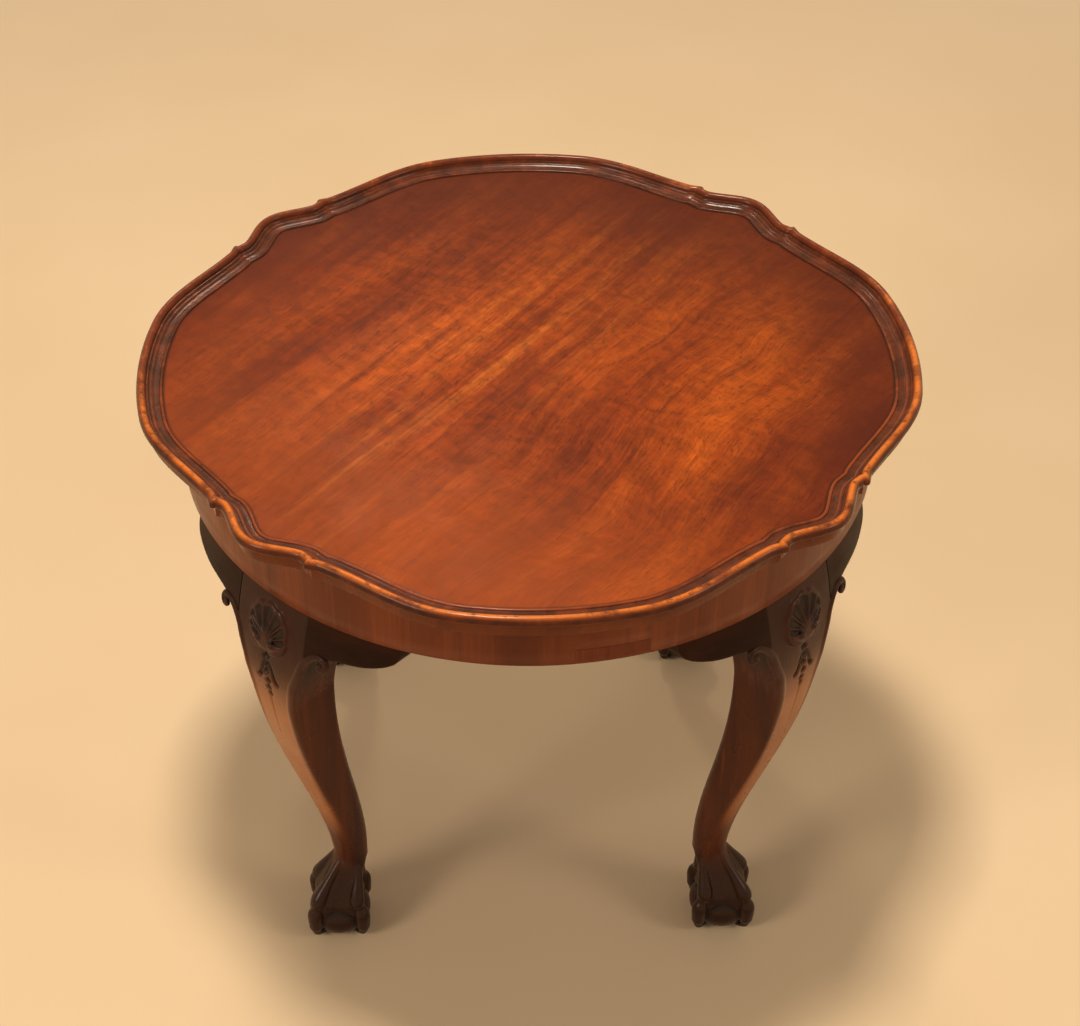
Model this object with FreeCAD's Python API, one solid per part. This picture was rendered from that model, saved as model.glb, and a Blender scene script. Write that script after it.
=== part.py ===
import FreeCAD, Part
import math
import os

from FreeCAD import Vector

# A round tray top tea table. Millimetres. The origin is on the floor, on the axis of the top.
# +Z is up, -Y is the front. Legs stand on the four diagonals, the long lobes of the rim between.

# ---- Tray top -------------------------------------------------------------------------------
table_height = 497.0
lobe_crown_radius = 307.5      # middle of a long lobe
hollow_depth = 16.0            # how far the rim falls in at each end of a long lobe
nose_rise = 3.0                # the small rounded nose that ends a long lobe
nose_step = 5.0                # step in from the nose to the short lobe
corner_fall = 4.5              # a short lobe's middle lies this far inside a long lobe's
lobe_level_angle = 12.0        # half-angle of the level middle of a long lobe
hollow_angle = 33.0            # from a long lobe's middle to the bottom of the hollow
corner_half_angle = 9.25       # half-angle of a short lobe
field_thickness = 10.5
tray_depth = 8.5
top_turn = 1.2                 # the top sits turned by this angle on the frame
bead_width = 8.0
bead_rise = 5.5                # bead above its widest line
bead_undercut = 2.5            # bead below its widest line
edge_band_inset = 4.5          # the plain band inside the bead
edge_rounding = 1.0            # of its lower corner
quirk = 1.0                    # small step at the inner side of the bead
inner_cove_width = 8.5         # hollow between the bead and the astragal
inner_cove_drop = 3.5          # down to the floor of that hollow
inner_cove_floor = 0.5         # of the hollow above the field
astragal_width = 3.0
astragal_rise = 1.4

# ---- Frieze ---------------------------------------------------------------------------------
top_overhang = 30.0            # crown of a long lobe beyond the face of the frieze
frieze_height = 54.5
veneer_thickness = 0.9
brick_depth = 25.0             # radial thickness of the core
course_count = 3
bricks_per_course = 6
patch_from_angle = -84.9
patch_to_angle = -73.5
patch_height = 14.0

# ---- Legs -----------------------------------------------------------------------------------
knee_stock_width = 74.0        # between the two ear joints
knee_setback = 2.5             # knee and ears behind the face of the frieze at their top
knee_bulge = 12.5              # furthest front of the knee beyond the frieze face
knee_bulge_drop = 80.0         # from the shoulder down to that point
knee_depth = 49.0              # front to back there
knee_round = 1.7               # above 1 the knee stays full further up
knee_neck_width = 45.0         # across the leg where it starts to widen up to the ears
knee_neck_drop = 105.5
knee_flare = 1.3               # above 1 it widens later
knee_corner = 3.0
joint_trim = 1.0               # planed off each side of the knee where an ear is glued on
back_rise = 8.0                # the back leans this far towards the axis up to the shoulder
shank_curve = 0.85             # below 1 the shank swings outwards sooner above the ankle
shank_taper = 1.2              # above 1 the shank stays slender further up
ankle_height = 84.0
ankle_setback = 17.5           # ankle behind the axis of the foot
ankle_thickness = 29.0
ankle_flat = 0.6               # width of the flat left on each side of the round ankle
post_width = 44.0
post_depth = 24.0
post_headroom = 2.0            # left between the post and the underside of the top

# ---- Claw and ball feet ---------------------------------------------------------------------
foot_setback = 38.5            # axis of the foot behind the face of the frieze
ball_radius = 27.0
ball_height = 42.0
ball_belly_height = 20.0       # where the ball is widest
ball_flat_radius = 13.0
paw_radius = 27.0              # of the web that lies over the ball
paw_bottom = 27.0              # the ball shows below this height
paw_forward_height = 40.0      # the web has come forward over the ball at this height
paw_full_height = 31.0         # the web has its full radius at this height
tendon_drop = 8.0              # the toes leave the ankle this far below it
tendon_radius = 8.0
knuckle_reach = 23.5           # knuckles from the axis of the foot
knuckle_height = 47.5
knuckle_radius = 8.0
toe_reach = 29.0               # middle joints from the axis of the foot
toe_height = 32.0
toe_radius = 7.5
claw_root_reach = 29.5
claw_root_height = 16.0
claw_root_radius = 6.5
claw_reach = 19.0
claw_radius = 4.0

# ---- Ears -----------------------------------------------------------------------------------
ear_reach = 113.0              # from the middle of the leg to the tip
ear_tip_drop = 15.5
ear_tip_inset = 5.0
ear_belly_at = 88.0
ear_belly_drop = 25.0
ear_neck_at = 58.0
ear_neck_drop = 30.5
ear_root_drop = 40.0

# ---- Carved shell ---------------------------------------------------------------------------
shell_width = 43.5
shell_height = 43.0
shell_middle_drop = 28.5
shell_relief = 3.5

# ---- Blocks and screws ----------------------------------------------------------------------
block_angle = 20.0             # each side of a long lobe's middle
block_length = 46.0
block_depth = 20.0
block_height = 24.0
screw_radius = 2.0
screw_head_radius = 4.0
screw_head_height = 2.6
screw_cover = 3.5              # wood left above a screw in the top
post_screw_bite = 17.0         # length of a post screw in the frieze
post_screw_inset = 9.0         # from the upper and lower edges of the frieze

# ---- Values worked out from the sizes above -------------------------------------------------
board_thickness = field_thickness + tray_depth
board_bottom = table_height - board_thickness
shoulder = board_bottom - frieze_height
frieze_radius = lobe_crown_radius - top_overhang
foot_axis_radius = frieze_radius - foot_setback
ankle_axis_radius = foot_axis_radius - ankle_setback
core_radius = frieze_radius - veneer_thickness
core_inner_radius = core_radius - brick_depth
knee_top_radius = frieze_radius - knee_setback
knee_front = frieze_radius + knee_bulge
knee_back = knee_front - knee_depth
cusp_angle = 45.0 - corner_half_angle
leg_angles = [45.0 + 90.0 * quarter for quarter in range(4)]
leg_names = ["back_right", "back_left", "front_left", "front_right"]

# ---- How finely curves are drawn ------------------------------------------------------------
long_lobe_steps = 24
short_lobe_steps = 8
bead_step = 30                 # degrees between the points round the bead and its hollow
astragal_step = 45
shank_stations = 14
paw_stations = 5
ear_face_steps = 6

AXIS = Vector(0, 0, 1)
ORIGIN = Vector(0, 0, 0)


def turned(shape, angle):
    """A copy of a shape turned about the axis of the table."""
    copy = shape.copy()
    copy.rotate(ORIGIN, AXIS, angle)
    return copy


def ease(share):
    """Smooth change from 0 to 1, level at both ends."""
    share = min(max(share, 0.0), 1.0)
    return (1.0 - math.cos(math.pi * share)) / 2.0


def polar(radius, angle, height):
    """A point at a radius and an angle in degrees."""
    turn = math.radians(angle)
    return Vector(radius * math.cos(turn), radius * math.sin(turn), height)


def spline_through(points):
    """One smooth edge through a list of points."""
    curve = Part.BSplineCurve()
    curve.interpolate(points)
    return curve.toShape()


def save(name, shape):
    """Write one sub-part as a STEP file."""
    shape.exportStep("parts/" + name + ".step")


# ---- Tray top -------------------------------------------------------------------------------
def long_lobe_radius(angle):
    """Rim radius of a long lobe at an angle from its middle."""
    angle = abs(angle)
    fall = hollow_depth * ease((angle - lobe_level_angle) / (hollow_angle - lobe_level_angle))
    nose = nose_rise * ease((angle - hollow_angle) / (cusp_angle - hollow_angle))
    return lobe_crown_radius - fall + nose


def short_lobe_radius(angle):
    """Rim radius of a short lobe at an angle from its middle."""
    middle = lobe_crown_radius - corner_fall
    end = lobe_crown_radius - hollow_depth + nose_rise - nose_step
    return middle - (middle - end) * ease(abs(angle) / corner_half_angle)


def lobe_edge(radius_at, middle, half_angle, inset, height, steps):
    """One lobe of the rim's outline as a smooth edge."""
    points = []
    for step in range(steps + 1):
        angle = half_angle * (2.0 * step / steps - 1.0)
        points.append(polar(radius_at(angle) - inset, middle + angle, height))
    return spline_through(points)


def rim_outline(inset, height):
    """The whole outline at an inset from the rim, with a small step at each nose."""
    edges = []
    for quarter in range(4):
        middle = 90.0 * quarter
        edges.append(lobe_edge(long_lobe_radius, middle, cusp_angle, inset, height,
                               long_lobe_steps))
        edges.append(lobe_edge(short_lobe_radius, middle + 45.0, corner_half_angle, inset, height,
                               short_lobe_steps))
    closed = []
    for index, edge in enumerate(edges):
        following = edges[(index + 1) % len(edges)]
        closed.append(edge)
        closed.append(Part.makeLine(edge.Vertexes[-1].Point, following.Vertexes[0].Point))
    return Part.Wire(closed)


def round_part(centre, radius, middle_height, rise, degrees):
    """Points of an elliptical moulding: insets from the outline and heights above the underside."""
    points = []
    for angle in degrees:
        turn = math.radians(angle)
        points.append((centre + radius * math.cos(turn), middle_height + rise * math.sin(turn)))
    return points


def edge_section():
    """Section of the rim from the underside, over the bead and down to the field.

    Each point is an inset from the outline and a height above the underside.
    """
    bead_line = board_thickness - bead_rise
    cove_end = bead_width + quirk + inner_cove_width
    section = [(edge_band_inset + edge_rounding, 0.0), (edge_band_inset, edge_rounding)]
    section += round_part(edge_band_inset, edge_band_inset, bead_line, bead_undercut,
                          range(270, 180, -bead_step))
    section += round_part(bead_width / 2.0, bead_width / 2.0, bead_line, bead_rise,
                          range(180, -1, -bead_step))
    section += round_part(cove_end, inner_cove_width,
                          field_thickness + inner_cove_floor + inner_cove_drop, inner_cove_drop,
                          range(180, 271, bead_step))
    section += round_part(cove_end + astragal_width / 2.0, astragal_width / 2.0, field_thickness,
                          astragal_rise, range(180 - astragal_step, -1, -astragal_step))
    return section


def make_tray_top():
    """The board: its moulded rim is a skin drawn through outlines, capped by field and underside."""
    outlines = [rim_outline(inset, board_bottom + rise) for inset, rise in edge_section()]
    board = turned(Part.makeLoft(outlines, True, True), top_turn)
    for screw in block_screw_solids():
        board = board.cut(screw)
    return board


# ---- Frieze ---------------------------------------------------------------------------------
def ring_piece(inner, outer, low, high, start, end):
    """A piece of a ring between two angles."""
    ring = Part.makeCylinder(outer, high - low, Vector(0, 0, low), AXIS, end - start)
    bore = Part.makeCylinder(inner, high - low, Vector(0, 0, low))
    return turned(ring.cut(bore), start)


def make_frieze_bricks():
    """Three staggered courses of curved bricks, bored for the post screws."""
    course_height = frieze_height / course_count
    sweep = 360.0 / bricks_per_course
    screws = post_screw_solids()
    bricks = {}
    for course in range(course_count):
        low = shoulder + course * course_height
        shift = sweep / 2.0 * (course % 2)
        for number in range(bricks_per_course):
            start = shift + number * sweep
            brick = ring_piece(core_inner_radius, core_radius, low, low + course_height,
                               start, start + sweep)
            for screw in screws:
                if brick.BoundBox.intersect(screw.BoundBox):
                    brick = brick.cut(screw)
            bricks["frieze_brick_%d_%d" % (course + 1, number + 1)] = brick
    return bricks


def patch_solid():
    return ring_piece(core_radius, frieze_radius, shoulder, shoulder + patch_height,
                      patch_from_angle, patch_to_angle)


def make_veneers():
    """Four sheets that meet over the legs. The front one is notched for the patch."""
    sheets = {}
    for name, middle in (("right", 0.0), ("back", 90.0), ("left", 180.0), ("front", 270.0)):
        sheet = ring_piece(core_radius, frieze_radius, shoulder, board_bottom,
                           middle - 45.0, middle + 45.0)
        if name == "front":
            sheet = sheet.cut(patch_solid())
        sheets["frieze_veneer_" + name] = sheet
    return sheets


# ---- Legs: drawn with the leg on +X, then turned to its diagonal ------------------------------
def leg_section(height):
    """Front, back, width and corner radius of the leg at a height."""
    knee_height = shoulder - knee_bulge_drop
    neck_height = shoulder - knee_neck_drop
    rise = (height - ankle_height) / (knee_height - ankle_height)
    middle_low = ankle_axis_radius
    middle_high = knee_front - knee_depth / 2.0
    if height <= knee_height:
        middle = middle_low + (middle_high - middle_low) * ease(max(rise, 0.0) ** shank_curve)
        depth = ankle_thickness + (knee_depth - ankle_thickness) * max(rise, 0.0) ** shank_taper
        front = middle + depth / 2.0
        back = middle - depth / 2.0
    else:
        above = ((height - knee_height) / knee_bulge_drop) ** knee_round
        front = knee_front + (knee_top_radius - knee_front) * above
        back = knee_back - back_rise * above
    slender = max((height - ankle_height) / (neck_height - ankle_height), 0.0)
    width = ankle_thickness + (knee_neck_width - ankle_thickness) * min(slender, 1.0) ** shank_taper
    widening = (height - neck_height) / (knee_neck_drop - ear_root_drop)
    widening = min(max(widening, 0.0), 1.0) ** knee_flare
    width += (knee_stock_width + 2.0 * joint_trim - knee_neck_width) * widening
    ankle_corner = (ankle_thickness - ankle_flat) / 2.0
    corner = ankle_corner + (knee_corner - ankle_corner) * min(slender, 1.0)
    return front, back, width, corner


def rounded_section(front, back, width, corner, height):
    """A closed four-cornered wire with round corners. Its front is an arc about the table's axis."""
    half = width / 2.0
    low = half - corner
    turn = corner * (1.0 - math.sqrt(0.5))
    face = math.sqrt(front ** 2 - low ** 2)
    edges = [
        Part.Arc(Vector(face, -low, height), Vector(front, 0, height), Vector(face, low, height)).toShape(),
        Part.Arc(Vector(face, low, height), Vector(face - turn, half - turn, height),
                 Vector(face - corner, half, height)).toShape(),
        Part.makeLine(Vector(face - corner, half, height), Vector(back + corner, half, height)),
        Part.Arc(Vector(back + corner, half, height), Vector(back + turn, half - turn, height),
                 Vector(back, low, height)).toShape(),
        Part.makeLine(Vector(back, low, height), Vector(back, -low, height)),
        Part.Arc(Vector(back, -low, height), Vector(back + turn, turn - half, height),
                 Vector(back + corner, -half, height)).toShape(),
        Part.makeLine(Vector(back + corner, -half, height), Vector(face - corner, -half, height)),
        Part.Arc(Vector(face - corner, -half, height), Vector(face - turn, turn - half, height),
                 Vector(face, -low, height)).toShape(),
    ]
    return Part.Wire(edges)


def make_shank():
    """Knee and shank from the ankle up to the shoulder, with flat sides where the ears join."""
    wires = []
    for station in range(shank_stations + 1):
        height = ankle_height + (shoulder - ankle_height) * station / shank_stations
        front, back, width, corner = leg_section(height)
        wires.append(rounded_section(front, back, width, corner, height))
    shank = Part.makeLoft(wires, True)
    slab = Part.makeBox(knee_front, knee_stock_width, table_height, Vector(0, -knee_stock_width / 2.0, 0))
    return shank.common(slab)


def make_post():
    """The part of the leg that stands inside the frieze, fitted to its curve."""
    reach = core_inner_radius - post_depth
    height = frieze_height - post_headroom
    block = Part.makeBox(post_depth, post_width, height, Vector(reach, -post_width / 2.0, shoulder))
    curve = Part.makeCylinder(core_inner_radius, height, Vector(0, 0, shoulder))
    return block.common(curve)


def make_ball():
    """The ball: a flattened round body with a small flat to stand on."""
    flat = Vector(foot_axis_radius + ball_flat_radius, 0, 0)
    side = Vector(foot_axis_radius + ball_radius, 0, ball_belly_height)
    top = Vector(foot_axis_radius, 0, ball_height)
    centre = Vector(foot_axis_radius, 0, 0)
    edges = [
        Part.Arc(flat, side, top).toShape(),
        Part.makeLine(top, centre),
        Part.makeLine(centre, flat),
    ]
    return Part.Face(Part.Wire(edges)).revolve(centre, AXIS, 360.0)


def make_paw():
    """The web of the foot: from the ankle forwards and down over the ball."""
    wires = []
    for station in range(paw_stations + 1):
        height = ankle_height + (paw_bottom - ankle_height) * station / paw_stations
        forward = ease((ankle_height - height) / (ankle_height - paw_forward_height))
        full = ease((ankle_height - height) / (ankle_height - paw_full_height))
        middle = ankle_axis_radius + (foot_axis_radius - ankle_axis_radius) * forward
        radius = ankle_thickness / 2.0 + (paw_radius - ankle_thickness / 2.0) * full
        wires.append(Part.Wire([Part.makeCircle(radius, Vector(middle, 0, height))]))
    return Part.makeLoft(wires, True)


def make_toe(direction):
    """One toe: tendon, knuckle, middle joint and claw down the side of the ball."""
    outwards = Vector(math.cos(math.radians(direction)), math.sin(math.radians(direction)), 0)
    ankle = Vector(ankle_axis_radius, 0, ankle_height - tendon_drop)
    foot = Vector(foot_axis_radius, 0, 0)
    joints = [
        (ankle, tendon_radius),
        (foot + outwards * knuckle_reach + AXIS * knuckle_height, knuckle_radius),
        (foot + outwards * toe_reach + AXIS * toe_height, toe_radius),
        (foot + outwards * claw_root_reach + AXIS * claw_root_height, claw_root_radius),
        (foot + outwards * claw_reach, claw_radius),
    ]
    wires = []
    for index, (place, radius) in enumerate(joints):
        before = joints[max(index - 1, 0)][0]
        after = joints[min(index + 1, len(joints) - 1)][0]
        normal = (after - before).normalize()
        if index == len(joints) - 1:
            normal = Vector(0, 0, -1)
        wires.append(Part.Wire([Part.makeCircle(radius, place, normal)]))
    return Part.makeLoft(wires, True)


def make_shell():
    """The oval ground of the knee's shell, a low dome standing on the knee."""
    middle = shoulder - shell_middle_drop
    front = leg_section(middle)[0]
    matrix = FreeCAD.Matrix()
    matrix.scale(Vector(shell_relief * 2.0, shell_width / 2.0, shell_height / 2.0))
    dome = Part.makeSphere(1.0).transformGeometry(matrix)
    dome.translate(Vector(front - shell_relief, 0, middle))
    return dome


def make_leg():
    """A whole leg in one piece, on +X."""
    leg = make_shank().fuse(make_paw())
    leg = leg.fuse(make_ball())
    for direction in (0.0, 90.0, 180.0, 270.0):
        leg = leg.fuse(make_toe(direction))
    leg = leg.fuse(make_post())
    leg = leg.fuse(make_shell())
    floor = Part.makeBox(table_height, table_height, table_height, Vector(0, -table_height / 2.0, 0))
    leg = leg.common(floor)
    for screw in post_screw_pair():
        leg = leg.cut(screw)
    return leg


def face_of_revolution(low, high, inner):
    """A ring whose outer face follows the front of the knee between two heights."""
    points = []
    for step in range(ear_face_steps + 1):
        height = low + (high - low) * step / ear_face_steps
        points.append(Vector(leg_section(height)[0], 0, height))
    corners = [points[-1], Vector(inner, 0, high), Vector(inner, 0, low), points[0]]
    edges = [spline_through(points)]
    edges += [Part.makeLine(start, end) for start, end in zip(corners, corners[1:])]
    return Part.Face(Part.Wire(edges)).revolve(ORIGIN, AXIS, 360.0)


def make_ear(side):
    """One ear on +X: under the frieze, flush with the knee, its lower edge a drawn curve."""
    ring = face_of_revolution(shoulder - ear_root_drop, shoulder, core_inner_radius)
    half = knee_stock_width / 2.0
    root = Vector(0, half, shoulder - ear_root_drop)
    tip = Vector(0, ear_reach, shoulder)
    corner = Vector(0, half, shoulder)
    curve = spline_through([
        root,
        Vector(0, ear_neck_at, shoulder - ear_neck_drop),
        Vector(0, ear_belly_at, shoulder - ear_belly_drop),
        Vector(0, ear_reach - ear_tip_inset, shoulder - ear_tip_drop),
        tip,
    ])
    edges = [curve, Part.makeLine(tip, corner), Part.makeLine(corner, root)]
    blank = Part.Face(Part.Wire(edges)).extrude(Vector(table_height, 0, 0))
    ear = ring.common(blank)
    if side < 0:
        ear = ear.mirror(ORIGIN, Vector(0, 1, 0))
    return ear


# ---- Blocks and screws ----------------------------------------------------------------------
def block_angles():
    """Angles of the glued blocks, two to each long lobe."""
    return [90.0 * quarter + side * block_angle for quarter in range(4) for side in (-1, 1)]


def wood_screw(head, direction, length):
    """A countersunk wood screw from the middle of its head."""
    cone = Part.makeCone(screw_head_radius, screw_radius, screw_head_height, head, direction)
    start = head + direction * screw_head_height
    shank = Part.makeCylinder(screw_radius, length - screw_head_height, start, direction)
    return cone.fuse(shank).removeSplitter()


def block_screw_solids():
    """The screws that run up through the blocks into the top."""
    length = block_height + field_thickness - screw_cover
    radius = core_inner_radius - block_depth / 2.0
    heads = [polar(radius, angle, board_bottom - block_height) for angle in block_angles()]
    return [wood_screw(head, AXIS, length) for head in heads]


def make_block(angle):
    """A block glued in the angle between frieze and top, fitted to the frieze's curve."""
    corner = Vector(core_inner_radius - block_depth, -block_length / 2.0, board_bottom - block_height)
    block = Part.makeBox(block_depth, block_length, block_height, corner)
    block = block.common(Part.makeCylinder(core_inner_radius, table_height))
    block = turned(block, angle)
    for screw in block_screw_solids():
        if block.BoundBox.intersect(screw.BoundBox):
            block = block.cut(screw)
    return block


def post_screw_pair():
    """The two screws of one leg, from the back of its post out into the frieze."""
    length = post_depth + post_screw_bite
    back = core_inner_radius - post_depth
    heights = (shoulder + post_screw_inset, board_bottom - post_screw_inset)
    return [wood_screw(Vector(back, 0, height), Vector(1, 0, 0), length) for height in heights]


def post_screw_solids():
    return [turned(screw, angle) for angle in leg_angles for screw in post_screw_pair()]


# ---- Write the sub-parts --------------------------------------------------------------------
os.makedirs("parts", exist_ok=True)

save("tray_top", make_tray_top())

for name, brick in make_frieze_bricks().items():
    save(name, brick)

for name, sheet in make_veneers().items():
    save(name, sheet)
save("frieze_patch", patch_solid())

leg = make_leg()
ears = {"left": make_ear(-1), "right": make_ear(1)}
for name, angle in zip(leg_names, leg_angles):
    save("leg_" + name, turned(leg, angle))
    for side, ear in ears.items():
        save("ear_" + name + "_" + side, turned(ear, angle))

for number, angle in enumerate(block_angles()):
    save("glue_block_%d" % (number + 1), make_block(angle))

save("block_screws", Part.makeCompound(block_screw_solids()))
save("post_screws", Part.makeCompound(post_screw_solids()))
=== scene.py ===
import math

import bpy
import numpy as np
from mathutils import Matrix, Vector


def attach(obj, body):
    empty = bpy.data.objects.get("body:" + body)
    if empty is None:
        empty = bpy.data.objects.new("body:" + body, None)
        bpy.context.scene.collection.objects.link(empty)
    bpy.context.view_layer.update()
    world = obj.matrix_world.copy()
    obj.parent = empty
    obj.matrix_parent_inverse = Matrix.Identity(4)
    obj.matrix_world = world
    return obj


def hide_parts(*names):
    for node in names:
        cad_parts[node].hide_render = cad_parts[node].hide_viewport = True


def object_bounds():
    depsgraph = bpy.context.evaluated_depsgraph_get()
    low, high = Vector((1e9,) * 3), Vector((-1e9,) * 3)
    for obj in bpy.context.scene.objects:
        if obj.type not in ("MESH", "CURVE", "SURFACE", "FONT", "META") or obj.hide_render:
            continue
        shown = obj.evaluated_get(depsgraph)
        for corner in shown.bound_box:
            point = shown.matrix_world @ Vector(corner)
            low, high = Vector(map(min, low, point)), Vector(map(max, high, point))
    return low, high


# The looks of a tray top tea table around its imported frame. Sizes are in millimetres, as in the
# part's source, and meshes are written in metres.

MM = 0.001
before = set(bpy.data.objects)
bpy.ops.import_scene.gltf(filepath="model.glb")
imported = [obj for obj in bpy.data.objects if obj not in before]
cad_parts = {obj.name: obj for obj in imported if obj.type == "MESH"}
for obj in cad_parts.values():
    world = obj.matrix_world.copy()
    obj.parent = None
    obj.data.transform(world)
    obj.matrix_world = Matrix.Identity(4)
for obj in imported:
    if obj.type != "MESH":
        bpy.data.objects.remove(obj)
cad_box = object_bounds()

# ---- Sizes of the part ----------------------------------------------------------------------
table_height = cad_box[1].z / MM
lobe_crown_radius = 307.5
hollow_depth = 16.0
nose_rise = 3.0
nose_step = 5.0
corner_fall = 4.5
lobe_level_angle = 12.0
hollow_angle = 33.0
corner_half_angle = 9.25
field_thickness = 10.5
tray_depth = 8.5
top_turn = 1.2
bead_width = 8.0
bead_rise = 5.5
bead_undercut = 2.5
edge_band_inset = 4.5
edge_rounding = 1.0
quirk = 1.0
inner_cove_width = 8.5
inner_cove_drop = 3.5
inner_cove_floor = 0.5
astragal_width = 3.0
astragal_rise = 1.4

frieze_height = 54.5
veneer_thickness = 0.9
brick_depth = 25.0
top_overhang = 30.0
patch_from_angle = -84.9
patch_to_angle = -73.5
patch_height = 14.0

knee_stock_width = 74.0
knee_setback = 2.5
knee_bulge = 12.5
knee_bulge_drop = 80.0
knee_depth = 49.0
knee_round = 1.7
knee_neck_width = 45.0
knee_neck_drop = 105.5
knee_flare = 1.3
knee_corner = 3.0
joint_trim = 1.0
back_rise = 8.0
shank_curve = 0.85
shank_taper = 1.2
ankle_height = 84.0
ankle_setback = 17.5
ankle_thickness = 29.0
ankle_flat = 0.6
post_width = 44.0
post_depth = 24.0
post_headroom = 2.0

foot_setback = 38.5
ball_radius = 27.0
ball_height = 42.0
ball_belly_height = 20.0
ball_flat_radius = 13.0
paw_radius = 27.0
paw_bottom = 27.0
paw_forward_height = 40.0
paw_full_height = 31.0
tendon_drop = 8.0
knuckle_reach = 23.5
knuckle_height = 47.5
knuckle_radius = 8.0
toe_reach = 29.0
toe_height = 32.0
toe_radius = 7.5
claw_root_reach = 29.5
claw_root_height = 16.0
claw_root_radius = 6.5
claw_reach = 19.0
claw_radius = 4.0

ear_reach = 113.0
ear_tip_drop = 15.5
ear_tip_inset = 5.0
ear_belly_at = 88.0
ear_belly_drop = 25.0
ear_neck_at = 58.0
ear_neck_drop = 30.5
ear_root_drop = 40.0

shell_width = 43.5
shell_height = 43.0
shell_middle_drop = 28.5

# ---- Worked out from them -------------------------------------------------------------------
board_thickness = field_thickness + tray_depth
board_bottom = table_height - board_thickness
shoulder = board_bottom - frieze_height
frieze_radius = lobe_crown_radius - top_overhang
foot_axis_radius = frieze_radius - foot_setback
ankle_axis_radius = foot_axis_radius - ankle_setback
core_radius = frieze_radius - veneer_thickness
core_inner_radius = core_radius - brick_depth
knee_top_radius = frieze_radius - knee_setback
knee_front = frieze_radius + knee_bulge
knee_back = knee_front - knee_depth
knee_height = shoulder - knee_bulge_drop
neck_height = shoulder - knee_neck_drop
cusp_angle = 45.0 - corner_half_angle
moulding_width = bead_width + quirk + inner_cove_width + astragal_width

leg_names = ["back_right", "back_left", "front_left", "front_right"]
leg_angles = [45.0, 135.0, 225.0, 315.0]


# ---- Helpers for shapes ---------------------------------------------------------------------
def ease(share):
    """Smooth change from 0 to 1, level at both ends."""
    return (1.0 - np.cos(np.pi * np.clip(share, 0.0, 1.0))) / 2.0


def bump(share):
    """1 in the middle of -1..1 and 0 at its ends, smooth."""
    return 1.0 - ease(np.abs(share))


def rising(value, start, run):
    """Smooth change from 0 at a start to 1 at the end of a run."""
    return ease((value - start) / run)


def unit(vectors):
    return vectors / np.linalg.norm(vectors, axis=-1, keepdims=True)


def heading(path):
    """Directions along a path of points."""
    return unit(np.gradient(path, axis=0))


def spline(points, steps):
    """Points of a smooth curve through a short list of points, evenly spread between them."""
    points = np.array(points, float)
    padded = np.vstack([2 * points[0] - points[1], points, 2 * points[-1] - points[-2]])
    curve = []
    for index in range(len(points) - 1):
        a, b, c, d = padded[index:index + 4]
        for t in np.linspace(0.0, 1.0, steps, endpoint=False):
            curve.append(0.5 * (2 * b + (c - a) * t + (2 * a - 5 * b + 4 * c - d) * t * t
                                + (3 * b - a - 3 * c + d) * t ** 3))
    curve.append(points[-1])
    return np.array(curve)


def grid_faces(rows, columns, around=True, offset=0):
    """Faces of a grid of points, whose columns may run round and close."""
    faces = []
    for row in range(rows - 1):
        for column in range(columns if around else columns - 1):
            after = (column + 1) % columns
            low = offset + row * columns
            high = low + columns
            faces.append((low + column, low + after, high + after, high + column))
    return faces


def lofted(loops, offset=0):
    """Points and faces of a closed skin through equal loops, with fans at its ends."""
    loops = np.array(loops, float)
    rows, columns, _ = loops.shape
    points = loops.reshape(-1, 3)
    centres = [loops[0].mean(0), loops[-1].mean(0)]
    faces = grid_faces(rows, columns, True, offset)
    first = offset + rows * columns
    for column in range(columns):
        after = (column + 1) % columns
        last = offset + (rows - 1) * columns
        faces.append((first, offset + after, offset + column))
        faces.append((first + 1, last + column, last + after))
    return np.vstack([points, centres]), faces


def joined(shapes):
    """Several shapes, each points and faces, as one."""
    points = []
    faces = []
    count = 0
    for shape_points, shape_faces in shapes:
        points.append(np.asarray(shape_points, float))
        faces += [tuple(count + corner for corner in face) for face in shape_faces]
        count += len(shape_points)
    return np.vstack(points), faces


def make_object(name, shape, smooth_angle=40.0):
    """A Blender object from points in millimetres and outward faces, smooth up to an angle."""
    points, faces = shape
    mesh = bpy.data.meshes.new(name)
    mesh.from_pydata((np.asarray(points) * MM).tolist(), [], faces)
    mesh.validate()
    made = bpy.data.objects.new(name, mesh)
    bpy.context.scene.collection.objects.link(made)
    with bpy.context.temp_override(active_object=made, object=made, selected_editable_objects=[made]):
        bpy.ops.object.shade_smooth_by_angle(angle=math.radians(smooth_angle))
    return made


def point_values(mesh, name, values):
    """A number for every point of a mesh, for the materials to read."""
    layer = mesh.attributes.new(name, "FLOAT", "POINT")
    layer.data.foreach_set("value", np.asarray(values, np.float32))


def apply_modifiers(made):
    """Replace an object's mesh by the mesh that its modifiers give."""
    depsgraph = bpy.context.evaluated_depsgraph_get()
    mesh = bpy.data.meshes.new_from_object(made.evaluated_get(depsgraph))
    made.modifiers.clear()
    made.data = mesh


def waver(values, seed, waves=6, longest=1.0):
    """A smooth hand-made unevenness between about -1 and 1 along some values."""
    random = np.random.default_rng(seed)
    total = np.zeros_like(values, float)
    for wave in range(waves):
        length = longest / (1.0 + 1.6 * wave)
        total += np.sin(2.0 * np.pi * (values / length + random.random())) / (1.0 + 0.5 * wave)
    return total / waves ** 0.5


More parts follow.
